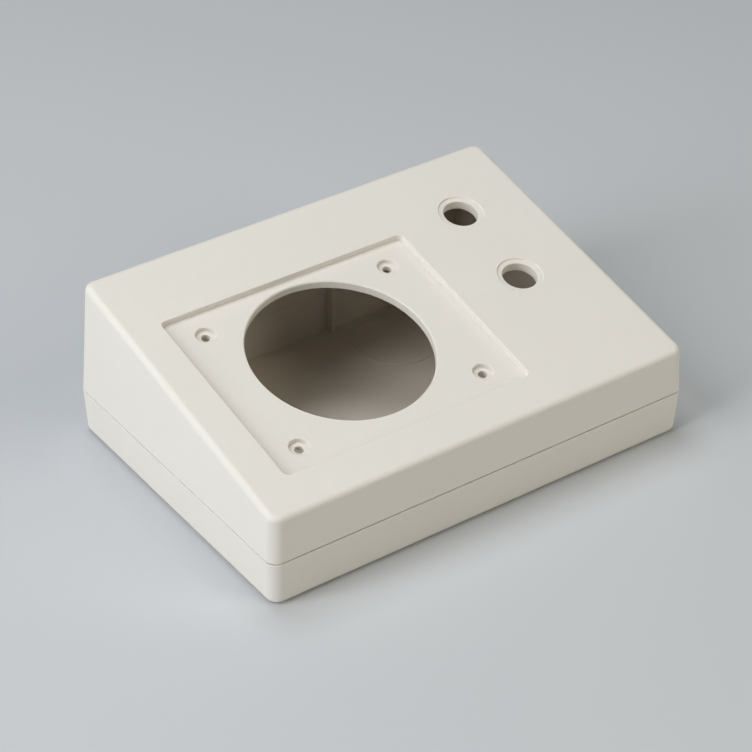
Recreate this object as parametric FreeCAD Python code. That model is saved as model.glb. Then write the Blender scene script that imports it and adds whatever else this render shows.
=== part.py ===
# Sloping desk housing moulded in two shells: a cover with a recessed instrument panel, and a shallow base.
# Millimetres. X runs to the right, Y to the back and Z up.
# The origin is under the middle of the housing, on the surface that its four rubber feet stand on.

import FreeCAD, Part
import math
import os

from FreeCAD import Placement, Rotation, Vector

# Overall form, with heights taken from the underside of the base
body_width = 223.5
body_depth = 157.5
base_height = 22.0
front_height = 44.8
back_height = 79.0
cover_draft = 2.9
base_draft = 2.45
corner_radius = 5.3
top_edge_radius = 3.0
bottom_edge_radius = 2.6

# Walls
wall = 3.2
floor_thickness = 3.6
smallest_corner = 0.8

# Joint between the shells: a shadow gap outside, and a tongue on the base inside the cover's rebate
shadow_gap = 0.6
rim_chamfer = 0.35
tongue_height = 2.0
tongue_thickness = 1.4
joint_clearance = 0.2

# Recess for the instrument panel, measured in the plane of the sloping top
recess_width = 128.9
recess_length = 100.4
recess_left_margin = 19.2
recess_front_margin = 19.1
recess_depth = 2.9
recess_draft = 3.0
recess_corner_radius = 2.6
recess_edge_radius = 0.4
instrument_panel_thickness = 4.1

# Round instrument opening, centred across the recess and set back a little from its middle
opening_diameter = 85.0
opening_set_back = 3.2
opening_chamfer = 0.5

# Counterbored holes for the instrument's four screws, centred on the recess
panel_screw_pitch_across = 97.2
panel_screw_pitch_along = 74.2
panel_screw_hole_diameter = 4.2
panel_screw_seat_diameter = 9.5
panel_screw_seat_depth = 1.9
panel_screw_chamfer = 0.2

# Two push-button holes in line, the front one beside the middle of the opening
button_right_margin = 38.6
button_spacing = 46.4
button_hole_diameter = 16.5
button_seat_diameter = 21.4
button_seat_depth = 0.8
button_chamfer = 0.3
button_collar_diameter = 24.0
button_collar_length = 5.3

# Case screws, driven from below through tubes in the base into bosses under the cover
case_screw_inset = 13.5
case_screw_length = 18.0
case_screw_core_diameter = 3.0
case_screw_head_diameter = 7.0
case_screw_head_height = 2.4
case_screw_slot_width = 1.1
case_screw_slot_length = 4.0
case_screw_slot_depth = 1.3
screw_tube_diameter = 12.4
screw_tube_below_joint = 4.0
screw_shelf_thickness = 4.0
screw_head_clearance = 0.6
screw_shank_clearance = 0.6
cover_boss_diameter = 9.6
pilot_clearance = 0.05
pilot_spare_depth = 2.0
boss_web_thickness = 2.0

# Upright ribs inside the cover's long walls, one beside each column of panel holes.
# They reach down into the base and locate it.
rib_right_of_holes = 1.0
rib_reach = 4.2
rib_tip_thickness = 1.9
rib_draft = 0.7
rib_floor_gap = 0.4
rib_wall_clearance = 0.3

# Rubber feet in round pockets
foot_stand = 0.8
foot_diameter = 12.0
foot_pocket_depth = 1.2
foot_pocket_clearance = 0.25
foot_inset_across = 32.0
foot_inset_along = 17.0

# Round mark that a mould insert leaves on the floor of the base
insert_mark_diameter = 42.8
insert_mark_width = 1.0
insert_mark_height = 0.4
insert_mark_right = 44.5
insert_mark_from_back = 28.9

# Heights above the surface that the housing stands on
underside = foot_stand
joint = underside + base_height
base_rim = joint - shadow_gap / 2
cover_rim = joint + shadow_gap / 2
tongue_top = joint + tongue_height
clear_of_tongue = tongue_top + 2 * joint_clearance
floor_top = underside + floor_thickness
tube_top = base_rim - screw_tube_below_joint
screw_shelf = tube_top - screw_shelf_thickness
reach = body_width + body_depth + back_height
same = 1e-5


def lean_in(height, draft):
    """How far a drafted wall leans in over a height."""
    return height * math.tan(math.radians(draft))


def panel_placement():
    """The frame of the sloping top: X across, Y up the slope from the front edge, Z out of the surface."""
    front = -body_depth / 2 + lean_in(underside + front_height - cover_rim, cover_draft)
    back = body_depth / 2 - lean_in(underside + back_height - cover_rim, cover_draft)
    angle = math.degrees(math.atan2(back_height - front_height, back - front))
    return Placement(Vector(0, front, underside + front_height), Rotation(Vector(1, 0, 0), angle))


panel = panel_placement()
upright = Placement()
panel_half_width = body_width / 2 - lean_in(underside + front_height - cover_rim, cover_draft)
recess_middle = Vector(
    -panel_half_width + recess_left_margin + recess_width / 2,
    recess_front_margin + recess_length / 2,
    0,
)
opening_middle = recess_middle + Vector(0, opening_set_back, 0)
button_middles = [
    Vector(panel_half_width - button_right_margin, opening_middle.y + step * button_spacing, 0)
    for step in range(2)
]


def ring(points):
    """A closed wire of straight edges through points."""
    return Part.makePolygon(points + points[:1])


def drafted_block(width, depth, radius, wide_level, narrow_level, draft):
    """A block whose walls lean in from the wide level to the narrow one, with rounded upright corners."""
    inset = lean_in(abs(narrow_level - wide_level), draft)
    wide = (wide_level, width / 2, depth / 2)
    narrow = (narrow_level, width / 2 - inset, depth / 2 - inset)
    (low, low_x, low_y), (high, high_x, high_y) = sorted([wide, narrow])
    block = Part.makeWedge(-low_x, low, -low_y, -high_y, -high_x, low_x, high, low_y, high_y, high_x)
    block.rotate(Vector(0, 0, 0), Vector(1, 0, 0), 90)
    return block.makeFillet(radius, edges_between(block, wide_level, narrow_level))


def cylinder(diameter, low, high, x=0.0, y=0.0):
    """An upright cylinder between two levels."""
    return Part.makeCylinder(diameter / 2, high - low, Vector(x, y, low))


def on_panel(shape):
    """Moves a shape from the frame of the sloping top to the frame of the housing."""
    shape.Placement = panel.multiply(shape.Placement)
    return shape


def below_panel(drop):
    """All the space below the plane of the sloping top, lowered by a drop."""
    return on_panel(Part.makeBox(2 * reach, 2 * reach, reach, Vector(-reach, -reach / 2, -reach - drop)))


def edges_between(shape, first_level, second_level):
    """The edges of a shape that run from one level to another."""
    length = abs(second_level - first_level) - same
    return [edge for edge in shape.Edges if edge.BoundBox.ZLength > length]


def edges_at(shape, frame, level):
    """The edges of a shape that lie at one level of a frame."""
    to_frame = frame.inverse()
    return [
        edge
        for edge in shape.Edges
        if all(abs(to_frame.multVec(vertex.Point).z - level) < same for vertex in edge.Vertexes)
    ]


def inner_radius(inset):
    """The corner radius of a wall's face that lies an inset inside the outer one."""
    return max(corner_radius - inset, smallest_corner)


def corner_places(inset_across, inset_along):
    """A named place near each corner of the housing, inset from the joint line."""
    x = body_width / 2 - inset_across
    y = body_depth / 2 - inset_along
    return {
        "front_left": (-x, -y),
        "front_right": (x, -y),
        "back_left": (-x, y),
        "back_right": (x, y),
    }


def base_inside(clearance):
    """The hollow of the base, made smaller by a clearance all round and carried up past the tongue."""
    inset = 2 * (wall + clearance - lean_in(clear_of_tongue - base_rim, base_draft))
    return drafted_block(
        body_width - inset, body_depth - inset, inner_radius(wall), clear_of_tongue, floor_top, base_draft
    )


def cover_envelope():
    """The cover's outer form, solid, with its rounded top edges and its chamfered rim."""
    top = underside + back_height
    block = drafted_block(body_width, body_depth, corner_radius, cover_rim, top, cover_draft)
    block = block.common(below_panel(0))
    block = block.makeFillet(top_edge_radius, edges_at(block, panel, 0))
    return block.makeChamfer(rim_chamfer, edges_at(block, upright, cover_rim))


def cover_hollow():
    """The space inside the cover, with the tray that carries the instrument panel left out of it."""
    inset = 2 * wall
    top = underside + back_height
    hollow = drafted_block(
        body_width - inset, body_depth - inset, inner_radius(wall), cover_rim, top, cover_draft
    )
    hollow = hollow.common(below_panel(wall))
    tray_depth = recess_depth + instrument_panel_thickness
    tray = drafted_block(
        recess_width + 2 * wall, recess_length + 2 * wall, recess_corner_radius + wall, 0, -tray_depth, 0
    )
    tray.translate(recess_middle)
    return hollow.cut(on_panel(tray))


def cover_rebate():
    """The step inside the cover's rim that the base's tongue fits in."""
    inset = 2 * (wall - tongue_thickness - joint_clearance)
    top = tongue_top + joint_clearance
    return drafted_block(
        body_width - inset, body_depth - inset, inner_radius(inset / 2), cover_rim, top, 0
    )


def recess():
    """The recess in the sloping top: its walls lean in towards its floor, and its mouth is rounded."""
    pocket = drafted_block(
        recess_width, recess_length, recess_corner_radius, 0, -recess_depth, recess_draft
    )
    # A slab over the pocket makes the concave corner that the rounding of the mouth needs
    box = pocket.BoundBox
    spread = 2 * recess_edge_radius
    corner = Vector(box.XMin - spread, box.YMin - spread, 0)
    pocket = pocket.fuse(Part.makeBox(box.XLength + 2 * spread, box.YLength + 2 * spread, spread, corner))
    box.enlarge(recess_edge_radius)
    mouth = [edge for edge in edges_at(pocket, upright, 0) if box.isInside(edge.BoundBox)]
    pocket = pocket.makeFillet(recess_edge_radius, mouth)
    pocket.translate(recess_middle)
    return on_panel(pocket)


def round_solid(middle, diameter, top, bottom):
    """A cylinder square to the sloping top, between two depths below its plane."""
    return on_panel(cylinder(diameter, -bottom, -top, middle.x, middle.y))


def chamfered_hole(middle, diameter, top, bottom, chamfer):
    """A cutter for a round hole with a chamfered mouth, between two depths below the plane of the top."""
    narrow = diameter / 2
    mouth = Part.makeCone(narrow, narrow + chamfer, chamfer, Vector(middle.x, middle.y, -top - chamfer))
    return round_solid(middle, diameter, top, bottom).fuse(on_panel(mouth))


def panel_screw_middles():
    """The four instrument screws, in the frame of the sloping top."""
    x = panel_screw_pitch_across / 2
    y = panel_screw_pitch_along / 2
    return [recess_middle + Vector(across * x, along * y, 0) for across in (-1, 1) for along in (-1, 1)]


def rib_columns():
    """The places of the ribs across the housing: beside the two columns of screws, and the buttons."""
    columns = [middle.x + rib_right_of_holes for middle in panel_screw_middles() + button_middles]
    return sorted({round(column, 6) for column in columns})


def cover_boss(x, y):
    """A boss under the cover for one case screw, webbed to the two walls beside it above the tongue."""
    boss = cylinder(cover_boss_diameter, tube_top, reach, x, y)
    half = boss_web_thickness / 2
    side = math.copysign(body_width / 2, x)
    end = math.copysign(body_depth / 2, y)
    across = Part.makeBox(abs(side - x), 2 * half, reach, Vector(min(x, side), y - half, clear_of_tongue))
    along = Part.makeBox(2 * half, abs(end - y), reach, Vector(x - half, min(y, end), clear_of_tongue))
    return [boss, across, along]


def pilot_hole(x, y):
    """The blind hole in a cover boss that the case screw bites into."""
    depth = case_screw_length - screw_shelf_thickness + pilot_spare_depth
    return cylinder(case_screw_core_diameter + 2 * pilot_clearance, tube_top, tube_top + depth, x, y)


def wall_rib(x, side):
    """One upright rib on the front wall, at side -1, or on the back wall, at side 1."""
    low = floor_top + rib_floor_gap
    high = underside + back_height
    half_tip = rib_tip_thickness / 2
    half_root = half_tip + lean_in(high - low, rib_draft)
    outline = [(-half_tip, low), (half_tip, low), (half_root, high), (-half_root, high)]
    face = Part.Face(ring([Vector(x + across, 0, level) for across, level in outline]))
    tip = side * (body_depth / 2 - lean_in(base_height - floor_thickness, base_draft) - wall - rib_reach)
    face.translate(Vector(0, tip, 0))
    blade = face.extrude(Vector(0, side * body_depth / 2 - tip, 0))
    above = Part.makeBox(reach, reach, reach, Vector(-reach / 2, -reach / 2, clear_of_tongue))
    return blade.common(above).fuse(blade.common(base_inside(rib_wall_clearance)))


def upper_shell():
    """The cover, one moulding."""
    envelope = cover_envelope()
    shell = envelope.cut(cover_hollow()).cut(cover_rebate())
    additions = []
    for x, y in corner_places(case_screw_inset, case_screw_inset).values():
        additions += cover_boss(x, y)
    for x in rib_columns():
        additions += [wall_rib(x, -1), wall_rib(x, 1)]
    for middle in button_middles:
        collar = round_solid(middle, button_collar_diameter, button_seat_depth, button_collar_length)
        additions.append(collar)
    limit = room_for_cover(envelope)
    shell = shell.fuse([addition.common(limit) for addition in additions])
    seat = recess_depth + panel_screw_seat_depth
    below = recess_depth + instrument_panel_thickness + wall
    cuts = [
        recess(),
        chamfered_hole(opening_middle, opening_diameter, recess_depth, below, opening_chamfer),
    ]
    for middle in panel_screw_middles():
        wide, narrow = panel_screw_seat_diameter, panel_screw_hole_diameter
        cuts.append(chamfered_hole(middle, wide, recess_depth, seat, panel_screw_chamfer))
        cuts.append(round_solid(middle, narrow, seat, below))
    below = button_collar_length + wall
    for middle in button_middles:
        cuts.append(chamfered_hole(middle, button_seat_diameter, 0, button_seat_depth, button_chamfer))
        cuts.append(chamfered_hole(middle, button_hole_diameter, button_seat_depth, below, button_chamfer))
    for x, y in corner_places(case_screw_inset, case_screw_inset).values():
        cuts.append(pilot_hole(x, y))
    return shell.cut(cuts).removeSplitter()


def room_for_cover(envelope):
    """The cover's outer form, and the space straight below it inside the base, to trim what hangs down."""
    inset = 2 * wall
    below = drafted_block(
        body_width - inset, body_depth - inset, inner_radius(wall), underside, cover_rim + wall, 0
    )
    return envelope.fuse(below)


def tube_webs(x, y):
    """Two webs that tie a screw tube to the walls beside it, up to the tube's top."""
    half = boss_web_thickness / 2
    side = math.copysign(body_width / 2, x)
    end = math.copysign(body_depth / 2, y)
    height = tube_top - underside - bottom_edge_radius
    low = underside + bottom_edge_radius
    across = Part.makeBox(abs(side - x), 2 * half, height, Vector(min(x, side), y - half, low))
    along = Part.makeBox(2 * half, abs(end - y), height, Vector(x - half, min(y, end), low))
    return [across, along]


def lower_shell():
    """The base, one moulding."""
    envelope = drafted_block(body_width, body_depth, corner_radius, base_rim, underside, base_draft)
    envelope = envelope.makeFillet(bottom_edge_radius, edges_at(envelope, upright, underside))
    envelope = envelope.makeChamfer(rim_chamfer, edges_at(envelope, upright, base_rim))
    inset = 2 * (wall - tongue_thickness)
    tongue = drafted_block(
        body_width - inset, body_depth - inset, inner_radius(inset / 2), joint - tongue_height, tongue_top, 0
    )
    shell = envelope.fuse(tongue).cut(base_inside(0))
    additions = []
    places = corner_places(case_screw_inset, case_screw_inset).values()
    for x, y in places:
        additions.append(cylinder(screw_tube_diameter, underside, tube_top, x, y))
        additions += [web.common(envelope) for web in tube_webs(x, y)]
    mark_y = body_depth / 2 - insert_mark_from_back
    mark_top = floor_top + insert_mark_height
    mark = cylinder(insert_mark_diameter, floor_top, mark_top, insert_mark_right, mark_y)
    middle = cylinder(
        insert_mark_diameter - 2 * insert_mark_width, floor_top, mark_top, insert_mark_right, mark_y
    )
    additions.append(mark.cut(middle))
    shell = shell.fuse(additions)
    cuts = []
    for x, y in places:
        head_hole = case_screw_head_diameter + 2 * screw_head_clearance
        shank_hole = case_screw_core_diameter + 2 * screw_shank_clearance
        cuts.append(cylinder(head_hole, underside, screw_shelf, x, y))
        cuts.append(cylinder(shank_hole, underside, tube_top, x, y))
    for x, y in corner_places(foot_inset_across, foot_inset_along).values():
        pocket = foot_diameter + 2 * foot_pocket_clearance
        cuts.append(cylinder(pocket, underside, underside + foot_pocket_depth, x, y))
    return shell.cut(cuts).removeSplitter()


def case_screw(x, y):
    """A thread-forming screw with a plain blunt core, a cross slot, and its head on the tube's shelf."""
    low = screw_shelf - case_screw_head_height
    screw = cylinder(case_screw_head_diameter, low, screw_shelf)
    screw = screw.fuse(cylinder(case_screw_core_diameter, screw_shelf, screw_shelf + case_screw_length))
    corner = Vector(-case_screw_slot_length / 2, -case_screw_slot_width / 2, low)
    slot = Part.makeBox(case_screw_slot_length, case_screw_slot_width, case_screw_slot_depth, corner)
    screw = screw.cut(slot)
    slot.rotate(Vector(0, 0, 0), Vector(0, 0, 1), 90)
    screw = screw.cut(slot)
    screw.translate(Vector(x, y, 0))
    return screw


def foot(x, y):
    """A round rubber foot, punched from sheet, seated in its pocket."""
    return cylinder(foot_diameter, 0, foot_stand + foot_pocket_depth, x, y)


def export(name, shape):
    """Writes one piece, as one solid."""
    solid = shape if shape.ShapeType == "Solid" else shape.Solids[0]
    count = len(shape.Solids)
    print(f"{name}: {count} solid, valid {solid.isValid()}, volume {solid.Volume:.0f}")
    solid.exportStep(f"parts/{name}.step")


os.makedirs("parts", exist_ok=True)
export("upper_shell", upper_shell())
export("lower_shell", lower_shell())
for corner, (x, y) in corner_places(case_screw_inset, case_screw_inset).items():
    export(f"case_screw_{corner}", case_screw(x, y))
for corner, (x, y) in corner_places(foot_inset_across, foot_inset_along).items():
    export(f"foot_{corner}", foot(x, y))
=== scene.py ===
# Looks of a sloping desk housing: two textured ABS mouldings, zinc-plated case screws and rubber feet.

import bpy
import math

from mathutils import Matrix, Vector


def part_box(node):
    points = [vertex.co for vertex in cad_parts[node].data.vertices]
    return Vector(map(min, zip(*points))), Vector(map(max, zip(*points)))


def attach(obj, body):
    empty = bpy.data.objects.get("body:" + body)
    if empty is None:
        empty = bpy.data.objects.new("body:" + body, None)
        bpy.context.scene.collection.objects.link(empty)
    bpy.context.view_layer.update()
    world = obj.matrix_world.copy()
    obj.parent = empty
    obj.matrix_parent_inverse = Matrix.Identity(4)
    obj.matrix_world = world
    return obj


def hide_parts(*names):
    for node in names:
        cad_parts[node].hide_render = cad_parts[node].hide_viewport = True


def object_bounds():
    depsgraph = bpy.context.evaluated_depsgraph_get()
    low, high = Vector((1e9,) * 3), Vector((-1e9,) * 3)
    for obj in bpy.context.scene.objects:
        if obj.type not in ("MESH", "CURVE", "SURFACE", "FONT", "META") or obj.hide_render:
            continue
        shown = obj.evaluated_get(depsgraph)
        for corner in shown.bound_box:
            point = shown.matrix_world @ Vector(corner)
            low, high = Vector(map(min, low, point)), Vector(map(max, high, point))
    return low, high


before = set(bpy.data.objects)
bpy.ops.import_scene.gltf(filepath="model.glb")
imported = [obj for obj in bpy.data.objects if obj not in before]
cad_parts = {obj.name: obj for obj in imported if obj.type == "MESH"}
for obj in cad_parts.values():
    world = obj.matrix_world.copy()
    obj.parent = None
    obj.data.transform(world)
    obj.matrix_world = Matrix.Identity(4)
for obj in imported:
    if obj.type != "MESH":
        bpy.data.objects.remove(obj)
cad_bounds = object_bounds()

MM = 0.001
CORNERS = ("front_left", "front_right", "back_left", "back_right")

# Housing: the rim where its drafted shells meet, its underside, and the sloping panel's plane
RIM_HEIGHT = 22.8 * MM
WALL_DRAFT = 2.7
UNDERSIDE_HEIGHT = 0.8 * MM
PANEL_SLOPE = 12.56
PANEL_DISTANCE = 61.4 * MM
# Depths behind the outer walls and behind the panel at which the inside starts, and is plain: there the grain
# fades and the inside's painted shade, a deeper and warmer tone, comes in
WALL_BAND = (2.3 * MM, 2.9 * MM)
PANEL_BAND = (5.2 * MM, 7.0 * MM)

# Textures of the housing: sizes across of its pigment flow, spark craters and shrinkage waves, and how deep
# the craters and the waves are
FLOW_SIZE = 50 * MM
# Spark craters are some 0.05 mm wide, drawn wider so that they show
GRAIN_SIZE = 0.7 * MM
WAVE_SIZE = 22 * MM
GRAIN_DEPTH = 0.1 * MM
WAVE_DEPTH = 0.06 * MM

# Textures of the small parts: the bloom and the grain of the rubber, and the cast of the zinc
BLOOM_SIZE = 3 * MM
RUBBER_GRAIN_SIZE = 0.3 * MM
RUBBER_GRAIN_DEPTH = 0.04 * MM
CAST_SIZE = 2.5 * MM

# Case screw: its solid's sizes, with the diameter and pitch of the thread that the solid leaves out
SCREW_SIZES = {
    "Core Diameter": 3.0 * MM,
    "Thread Diameter": 4.0 * MM,
    "Pitch": 1.8 * MM,
    "Head Diameter": 7.0 * MM,
    "Head Height": 2.4 * MM,
    "Recess Width": 1.1 * MM,
    "Recess Length": 4.0 * MM,
    "Recess Depth": 1.3 * MM,
}

# Dome of the head as shares of its diameter, and half the thread's height as a share of its depth
DOME_SHARES = (0.56, 0.56, 0.343)
FLANK_SHARE = 0.3
SCREW_SIDES = 48
DOME_RINGS = 32
THREAD_STEPS = 24
SHARP_EDGE = 35.0

# Softboxes: bearing from the left towards the back, height, watts and colour
SOFTBOXES = {
    "left_low_softbox": (0, 20, 15.9, "#F9FCFF"),
    "left_high_softbox": (0, 48, 12.1, "#FFFDFC"),
    "overhead_softbox": (90, 75, 11.7, "#F3F9FF"),
    "front_low_softbox": (-120, 20, 6.0, "#FFF8E6"),
    "front_high_softbox": (-120, 42, 6.0, "#FFF8E6"),
}
# Softboxes behind a polariser, which leave no glare where the panel is seen at a low angle
POLARISED = ("left_low_softbox",)
SOFTBOX_SIZE = 0.9
SOFTBOX_DISTANCE = 1.8
LIT_MIDDLE = Vector((0, 0, 30 * MM))
WORLD_STRENGTH = 0.045

# Studio paper: its colour, half its width, and how far from the housing it passes into the plain backdrop
PAPER_COLOUR = "#C4C7CA"
PAPER_HALF_WIDTH = 4.0
PAPER_FADE = (0.6, 1.2)

# Camera: it stands at the front left, and its frame is the photograph's
CAMERA_AZIMUTH = -35.9
CAMERA_ELEVATION = 35.2
CAMERA_ROLL = 0.77
CAMERA_PLACE = Vector((-567.6, -779.5, 709.7)) * MM
SENSOR_WIDTH = 36.0
PHOTO_WIDTH = 752
FOCAL_PIXELS = 2619.3
NEAREST_SEEN = 0.05


def linear(text, alpha=1.0):
    """An sRGB hex colour as the linear colour that shaders and lamps take."""
    channels = [int(text[place:place + 2], 16) / 255 for place in (1, 3, 5)]
    return [c / 12.92 if c <= 0.04045 else ((c + 0.055) / 1.055) ** 2.4 for c in channels] + [alpha]


def add(tree, kind, settings=None, links=None):
    """Adds one node to a tree, sets its values or inputs, and links sockets or nodes to its inputs."""
    node = tree.nodes.new(kind)
    for name, value in (settings or {}).items():
        if isinstance(name, str) and hasattr(node, name):
            setattr(node, name, value)
        else:
            node.inputs[name].default_value = value
    for name, sources in (links or {}).items():
        for source in sources if isinstance(sources, list) else [sources]:
            socket = source if isinstance(source, bpy.types.NodeSocket) else source.outputs[0]
            tree.links.new(socket, node.inputs[name])
    return node


def new_material(name):
    """An empty node material and its tree, with an output node."""
    material = bpy.data.materials.new(name)
    material.use_nodes = True
    tree = material.node_tree
    tree.nodes.clear()
    return material, tree, add(tree, "ShaderNodeOutputMaterial")


def inside_and_shade_share(tree, place):
    """A node that gives 0 on the housing's outside and its recess, and 1 on the walls and floor inside; it
    masks the inside's painted shade and its fading grain.
    """
    draft, slope = math.radians(WALL_DRAFT), math.radians(PANEL_SLOPE)
    upright, leaning = math.cos(draft), math.sin(draft)
    half_width, half_depth, _ = cad_bounds[1]
    # The walls lean in both ways from the rim, and alike on both sides
    from_rim = add(tree, "ShaderNodeVectorMath", {"operation": "SUBTRACT", 1: (0, 0, RIM_HEIGHT)}, {0: place})
    unsigned = add(tree, "ShaderNodeVectorMath", {"operation": "ABSOLUTE"}, {0: from_rim})
    # The side walls, the end walls, the panel and the underside: a position, the way the face looks, how far
    # out it stands, and the depths behind it at which the inside starts and is plain
    faces = (
        (unsigned, (upright, 0, leaning), half_width * upright, WALL_BAND),
        (unsigned, (0, upright, leaning), half_depth * upright, WALL_BAND),
        (place, (0, -math.sin(slope), math.cos(slope)), PANEL_DISTANCE, PANEL_BAND),
        (place, (0, 0, -1), -UNDERSIDE_HEIGHT, WALL_BAND),
    )
    share = None
    for position, outwards, distance, (start, end) in faces:
        reach = add(tree, "ShaderNodeVectorMath", {"operation": "DOT_PRODUCT", 1: outwards}, {0: position})
        depth = add(
            tree,
            "ShaderNodeMapRange",
            {"From Min": distance - start, "From Max": distance - end},
            {"Value": reach.outputs["Value"]},
        )
        links = {0: share, 1: depth} if share else {1: depth}
        share = add(tree, "ShaderNodeMath", {"operation": "MULTIPLY", 0: 1.0}, links)
    return share


def moulded_abs():
    """ABS moulded against a spark-eroded cavity outside, matt and evenly grained, and a plain core inside,
    where a deeper, warmer tone is painted shade.
    """
    material, tree, output = new_material("spark-textured moulded ABS")
    place = add(tree, "ShaderNodeTexCoord").outputs["Object"]
    # The inside's mask, which carries its painted shade and its fading grain
    inside = inside_and_shade_share(tree, place)
    # Pigment spreads a little unevenly as the melt flows
    flow = add(tree, "ShaderNodeTexNoise", {"Scale": 1 / FLOW_SIZE, "Detail": 2.0}, {"Vector": place})
    outer_colour = add(
        tree,
        "ShaderNodeMix",
        {"data_type": "RGBA", 6: linear("#DDD9D1"), 7: linear("#E1DDD6")},
        {0: flow},
    )
    # Inside, a deeper, warmer tone is painted shade, standing in for the dim, warm light within the housing
    colour = add(
        tree,
        "ShaderNodeMix",
        {"data_type": "RGBA", 7: linear("#DCD4C8")},
        {0: inside, 6: outer_colour.outputs[2]},
    )
    grain = add(tree, "ShaderNodeTexNoise", {"Scale": 1 / GRAIN_SIZE, "Detail": 3.0}, {"Vector": place})
    # Shrinkage over the ribs and thick places leaves slow waves
    waves = add(tree, "ShaderNodeTexNoise", {"Scale": 1 / WAVE_SIZE, "Detail": 1.0}, {"Vector": place})
    rough = add(
        tree,
        "ShaderNodeMapRange",
        {"From Min": 0.3, "From Max": 0.7, "To Min": 0.56, "To Max": 0.68},
        {"Value": grain},
    )
    wave_bump = add(tree, "ShaderNodeBump", {"Strength": 0.5, "Distance": WAVE_DEPTH}, {"Height": waves})
    # The grain is strong outside and nearly gone inside
    grain_strength = add(tree, "ShaderNodeMapRange", {"To Min": 0.9, "To Max": 0.1}, {"Value": inside})
    grain_bump = add(
        tree,
        "ShaderNodeBump",
        {"Distance": GRAIN_DEPTH},
        {"Height": grain, "Normal": wave_bump, "Strength": grain_strength},
    )
    shader = add(
        tree,
        "ShaderNodeBsdfPrincipled",
        {"IOR": 1.53, "Specular IOR Level": 0.45},
        {"Base Color": colour.outputs[2], "Roughness": rough, "Normal": grain_bump},
    )
    tree.links.new(shader.outputs[0], output.inputs["Surface"])
    return material


def moulded_rubber():
    """Black nitrile rubber from a matt mould: dull, with a faint bloom."""
    material, tree, output = new_material("moulded nitrile rubber")
    place = add(tree, "ShaderNodeTexCoord").outputs["Object"]
    bloom = add(tree, "ShaderNodeTexNoise", {"Scale": 1 / BLOOM_SIZE, "Detail": 4.0}, {"Vector": place})
    colour = add(
        tree,
        "ShaderNodeMix",
        {"data_type": "RGBA", 6: linear("#26262A"), 7: linear("#34343A")},
        {0: bloom},
    )
    fine = add(tree, "ShaderNodeTexNoise", {"Scale": 1 / RUBBER_GRAIN_SIZE, "Detail": 2.0}, {"Vector": place})
    bump = add(tree, "ShaderNodeBump", {"Strength": 0.5, "Distance": RUBBER_GRAIN_DEPTH}, {"Height": fine})
    shader = add(
        tree,
        "ShaderNodeBsdfPrincipled",
        {"Roughness": 0.78, "IOR": 1.52},
        {"Base Color": colour.outputs[2], "Normal": bump},
    )
    tree.links.new(shader.outputs[0], output.inputs["Surface"])
    return material


def zinc_plate():
    """Bright zinc plate on cold-formed steel: a cool grey metal with a thin yellowish cast in places."""
    material, tree, output = new_material("bright zinc plate")
    place = add(tree, "ShaderNodeTexCoord").outputs["Object"]
    cast = add(tree, "ShaderNodeTexNoise", {"Scale": 1 / CAST_SIZE, "Detail": 3.0}, {"Vector": place})
    colour = add(
        tree,
        "ShaderNodeMix",
        {"data_type": "RGBA", 6: linear("#C3C6CC"), 7: linear("#CFCABB")},
        {0: cast},
    )
    rough = add(
        tree,
        "ShaderNodeMapRange",
        {"From Min": 0.3, "From Max": 0.7, "To Min": 0.24, "To Max": 0.4},
        {"Value": cast},
    )
    shader = add(
        tree,
        "ShaderNodeBsdfPrincipled",
        {"Metallic": 1.0},
        {"Base Color": colour.outputs[2], "Roughness": rough},
    )
    tree.links.new(shader.outputs[0], output.inputs["Surface"])
    return material


def seen_share(tree):
    """A node that gives 1 where the camera sees a point, straight, in metal or through glass, and else 0."""
    path = add(tree, "ShaderNodeLightPath").outputs
    share = path["Is Camera Ray"]
    for way in ("Is Glossy Ray", "Is Transmission Ray"):
        share = add(tree, "ShaderNodeMath", {"operation": "MAXIMUM"}, {0: share, 1: path[way]})
    return share


def matt_floor():
    """Pale matt studio paper, which the camera sees curve up into the plain backdrop far from the housing."""
    material, tree, output = new_material("pale studio paper")
    paper = add(
        tree,
        "ShaderNodeBsdfPrincipled",
        {"Base Color": linear(PAPER_COLOUR), "Roughness": 0.9, "Specular IOR Level": 0.2},
    )
    backdrop = add(tree, "ShaderNodeEmission", {"Color": linear(PAPER_COLOUR)})
    place = add(tree, "ShaderNodeTexCoord").outputs["Object"]
    reach = add(tree, "ShaderNodeVectorMath", {"operation": "LENGTH"}, {0: place})
    far = add(
        tree,
        "ShaderNodeMapRange",
        {"interpolation_type": "SMOOTHSTEP", "From Min": PAPER_FADE[0], "From Max": PAPER_FADE[1]},
        {"Value": reach.outputs["Value"]},
    )
    share = add(tree, "ShaderNodeMath", {"operation": "MULTIPLY"}, {0: far, 1: seen_share(tree)})
    mixed = add(tree, "ShaderNodeMixShader", links={0: share, 1: paper, 2: backdrop})
    tree.links.new(mixed.outputs[0], output.inputs["Surface"])
    return material


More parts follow.
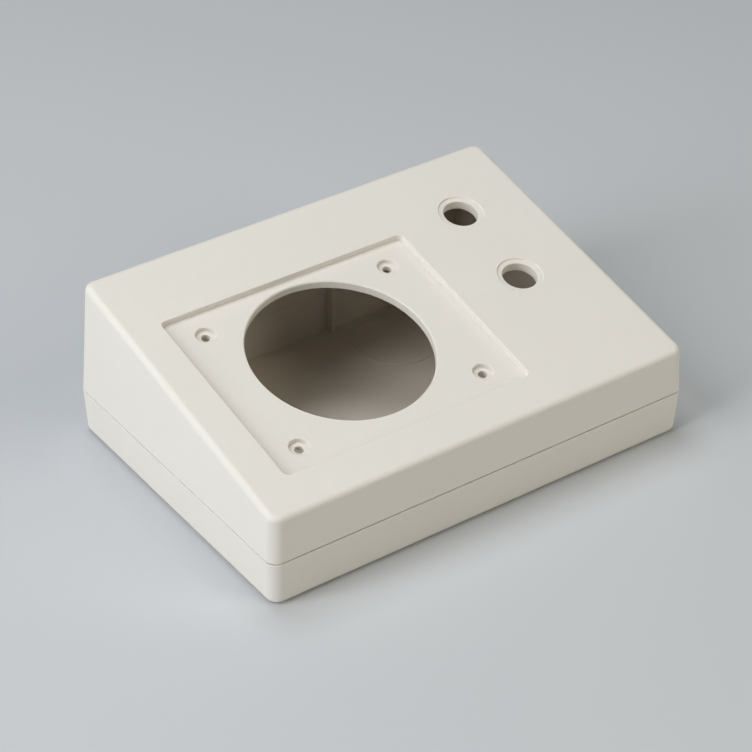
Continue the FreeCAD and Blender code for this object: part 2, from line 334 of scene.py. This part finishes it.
def screw_tree(material):
    """A pan-head screw for plastics, head down on the origin: domed head, cross recess, core and thread."""
    tree = bpy.data.node_groups.new("case screw", "GeometryNodeTree")
    for name in ["Length", *SCREW_SIZES]:
        tree.interface.new_socket(name, in_out="INPUT", socket_type="NodeSocketFloat")
    tree.interface.new_socket("Geometry", in_out="OUTPUT", socket_type="NodeSocketGeometry")
    size = tree.nodes.new("NodeGroupInput").outputs

    # The head is where a flattened ball and the head's cylinder meet, less two crossed slots
    head_radius = add(tree, "ShaderNodeMath", {"operation": "MULTIPLY", 1: 0.5}, {0: size["Head Diameter"]})
    half_head = add(tree, "ShaderNodeMath", {"operation": "MULTIPLY", 1: 0.5}, {0: size["Head Height"]})
    drum = add(
        tree,
        "GeometryNodeMeshCylinder",
        {"Vertices": SCREW_SIDES},
        {"Radius": head_radius, "Depth": size["Head Height"]},
    )
    drum_middle = add(tree, "ShaderNodeCombineXYZ", links={"Z": half_head})
    drum = add(tree, "GeometryNodeTransform", links={"Geometry": drum, "Translation": drum_middle})
    ball = add(
        tree,
        "GeometryNodeMeshUVSphere",
        {"Segments": SCREW_SIDES, "Rings": DOME_RINGS},
        {"Radius": size["Head Diameter"]},
    )
    seat = add(tree, "ShaderNodeCombineXYZ", links={"Z": size["Head Height"]})
    ball = add(tree, "GeometryNodeTransform", {"Scale": DOME_SHARES}, {"Geometry": ball, "Translation": seat})
    domed = add(
        tree,
        "GeometryNodeMeshBoolean",
        {"operation": "INTERSECT", "solver": "EXACT"},
        {"Mesh 2": [drum, ball]},
    )
    deep = add(tree, "ShaderNodeMath", {"operation": "MULTIPLY", 1: 2.0}, {0: size["Recess Depth"]})
    slots = []
    for across, along in (("Recess Width", "Recess Length"), ("Recess Length", "Recess Width")):
        extent = add(tree, "ShaderNodeCombineXYZ", links={"X": size[across], "Y": size[along], "Z": deep})
        slots.append(add(tree, "GeometryNodeMeshCube", links={"Size": extent}))
    head = add(
        tree,
        "GeometryNodeMeshBoolean",
        {"operation": "DIFFERENCE", "solver": "EXACT"},
        {"Mesh 1": domed, "Mesh 2": slots},
    )

    # The core runs from the head to the blunt end
    shank = add(
        tree,
        "ShaderNodeMath",
        {"operation": "SUBTRACT"},
        {0: size["Length"], 1: size["Head Height"]},
    )
    shank_middle = add(
        tree,
        "ShaderNodeMath",
        {"operation": "MULTIPLY_ADD", 1: 0.5},
        {0: shank, 2: size["Head Height"]},
    )
    core_radius = add(tree, "ShaderNodeMath", {"operation": "MULTIPLY", 1: 0.5}, {0: size["Core Diameter"]})
    core = add(
        tree,
        "GeometryNodeMeshCylinder",
        {"Vertices": SCREW_SIDES},
        {"Radius": core_radius, "Depth": shank},
    )
    core_middle = add(tree, "ShaderNodeCombineXYZ", links={"Z": shank_middle})
    core = add(tree, "GeometryNodeTransform", links={"Geometry": core, "Translation": core_middle})

    # The thread is a kite-shaped section on a helix, half a pitch short of the head and of the end
    run = add(tree, "ShaderNodeMath", {"operation": "SUBTRACT"}, {0: shank, 1: size["Pitch"]})
    turns = add(tree, "ShaderNodeMath", {"operation": "DIVIDE"}, {0: run, 1: size["Pitch"]})
    helix = add(
        tree,
        "GeometryNodeCurveSpiral",
        {"Resolution": THREAD_STEPS},
        {"Rotations": turns, "Start Radius": core_radius, "End Radius": core_radius, "Height": run},
    )
    upright = add(tree, "GeometryNodeSetCurveNormal", {"mode": "Z_UP"}, {"Curve": helix})
    crest = add(
        tree,
        "ShaderNodeMath",
        {"operation": "SUBTRACT"},
        {0: size["Thread Diameter"], 1: size["Core Diameter"]},
    )
    flank = add(tree, "ShaderNodeMath", {"operation": "MULTIPLY", 1: FLANK_SHARE}, {0: crest})
    section = add(
        tree,
        "GeometryNodeCurvePrimitiveQuadrilateral",
        {"mode": "KITE"},
        {"Width": crest, "Bottom Height": flank, "Top Height": flank},
    )
    thread = add(
        tree,
        "GeometryNodeCurveToMesh",
        {"Fill Caps": True},
        {"Curve": upright, "Profile Curve": section},
    )
    first_turn = add(
        tree,
        "ShaderNodeMath",
        {"operation": "MULTIPLY_ADD", 1: 0.5},
        {0: size["Pitch"], 2: size["Head Height"]},
    )
    thread_foot = add(tree, "ShaderNodeCombineXYZ", links={"Z": first_turn})
    thread = add(tree, "GeometryNodeTransform", links={"Geometry": thread, "Translation": thread_foot})

    joined = add(tree, "GeometryNodeJoinGeometry", links={"Geometry": [head, core, thread]})
    real = add(tree, "GeometryNodeRealizeInstances", links={"Geometry": joined})
    plated = add(tree, "GeometryNodeSetMaterial", {"Material": material}, {"Geometry": real})
    add(tree, "NodeGroupOutput", links={"Geometry": plated})
    return tree


def baked(name, tree, sizes, material):
    """The mesh that a tree makes from its sizes."""
    holder = bpy.data.objects.new(name, bpy.data.meshes.new(name))
    bpy.context.collection.objects.link(holder)
    modifier = holder.modifiers.new(name, "NODES")
    modifier.node_group = tree
    for socket in tree.interface.items_tree:
        if socket.in_out == "INPUT":
            modifier[socket.identifier] = sizes[socket.name]
    evaluated = holder.evaluated_get(bpy.context.evaluated_depsgraph_get())
    mesh = bpy.data.meshes.new_from_object(evaluated)
    bpy.data.objects.remove(holder)
    mesh.name = name
    mesh.materials.clear()
    mesh.materials.append(material)
    return mesh


def drive_screws(material):
    """A threaded screw in the place of each plain one."""
    tree = screw_tree(material)
    for corner in CORNERS:
        low, high = (Vector(end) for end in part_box(f"case_screw_{corner}"))
        name = f"threaded_screw_{corner}"
        mesh = baked(name, tree, {"Length": high.z - low.z, **SCREW_SIZES}, material)
        mesh.set_sharp_from_angle(angle=math.radians(SHARP_EDGE))
        middle = (low + high) / 2
        mesh.transform(Matrix.Translation((middle.x, middle.y, low.z)))
        screw = bpy.data.objects.new(name, mesh)
        bpy.context.collection.objects.link(screw)
        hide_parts(f"case_screw_{corner}")
        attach(screw, "root")


def dress(node, material):
    """Gives a CAD node its material."""
    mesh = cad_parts[node].data
    mesh.materials.clear()
    mesh.materials.append(material)


def lay_floor():
    """The pale floor that the housing stands on."""
    mesh = bpy.data.meshes.new("studio_floor")
    half = PAPER_HALF_WIDTH
    corners = [(-half, -half, 0), (half, -half, 0), (half, half, 0), (-half, half, 0)]
    mesh.from_pydata(corners, [], [(0, 1, 2, 3)])
    floor = bpy.data.objects.new("studio_floor", mesh)
    bpy.context.collection.objects.link(floor)
    mesh.materials.append(matt_floor())


def softbox(name, bearing, height, power, colour):
    """One square lamp that faces the housing, from a bearing and a height in degrees."""
    lamp = bpy.data.lights.new(name, "AREA")
    lamp.size = SOFTBOX_SIZE
    lamp.energy = power
    lamp.color = linear(colour)[:3]
    around, up = math.radians(bearing), math.radians(height)
    towards = Vector((-math.cos(up) * math.cos(around), math.cos(up) * math.sin(around), math.sin(up)))
    place = towards * SOFTBOX_DISTANCE
    holder = bpy.data.objects.new(name, lamp)
    holder.location = place
    holder.rotation_mode = "QUATERNION"
    holder.rotation_quaternion = (LIT_MIDDLE - place).to_track_quat("-Z", "Y")
    holder.visible_glossy = name not in POLARISED
    bpy.context.collection.objects.link(holder)


def light_the_room():
    """Softboxes at the left, overhead and at the front right, in a dim room that is seen as pale paper."""
    for name, settings in SOFTBOXES.items():
        softbox(name, *settings)
    world = bpy.data.worlds.new("studio")
    bpy.context.scene.world = world
    world.use_nodes = True
    tree = world.node_tree
    tree.nodes.clear()
    room = add(tree, "ShaderNodeBackground", {"Color": linear("#FFFFFF"), "Strength": WORLD_STRENGTH})
    backdrop = add(tree, "ShaderNodeBackground", {"Color": linear(PAPER_COLOUR)})
    mixed = add(tree, "ShaderNodeMixShader", links={0: seen_share(tree), 1: room, 2: backdrop})
    add(tree, "ShaderNodeOutputWorld", links={"Surface": mixed})


def set_up_camera():
    """The photograph's view."""
    data = bpy.data.cameras.new("photo_camera")
    data.sensor_width = SENSOR_WIDTH
    data.lens = FOCAL_PIXELS / PHOTO_WIDTH * SENSOR_WIDTH
    data.clip_start = NEAREST_SEEN
    camera = bpy.data.objects.new("photo_camera", data)
    azimuth, elevation = math.radians(CAMERA_AZIMUTH), math.radians(CAMERA_ELEVATION)
    looking = Vector((
        -math.sin(azimuth) * math.cos(elevation),
        math.cos(azimuth) * math.cos(elevation),
        -math.sin(elevation),
    ))
    level = looking.to_track_quat("-Z", "Y").to_matrix()
    turned = level @ Matrix.Rotation(math.radians(CAMERA_ROLL), 3, "Z")
    camera.rotation_mode = "QUATERNION"
    camera.rotation_quaternion = turned.to_quaternion()
    camera.location = CAMERA_PLACE
    bpy.context.collection.objects.link(camera)
    bpy.context.scene.camera = camera


plastic = moulded_abs()
dress("upper_shell", plastic)
dress("lower_shell", plastic)
rubber = moulded_rubber()
for corner in CORNERS:
    dress(f"foot_{corner}", rubber)
drive_screws(zinc_plate())

lay_floor()
light_the_room()
set_up_camera()
bpy.context.scene.view_settings.view_transform = "Standard"
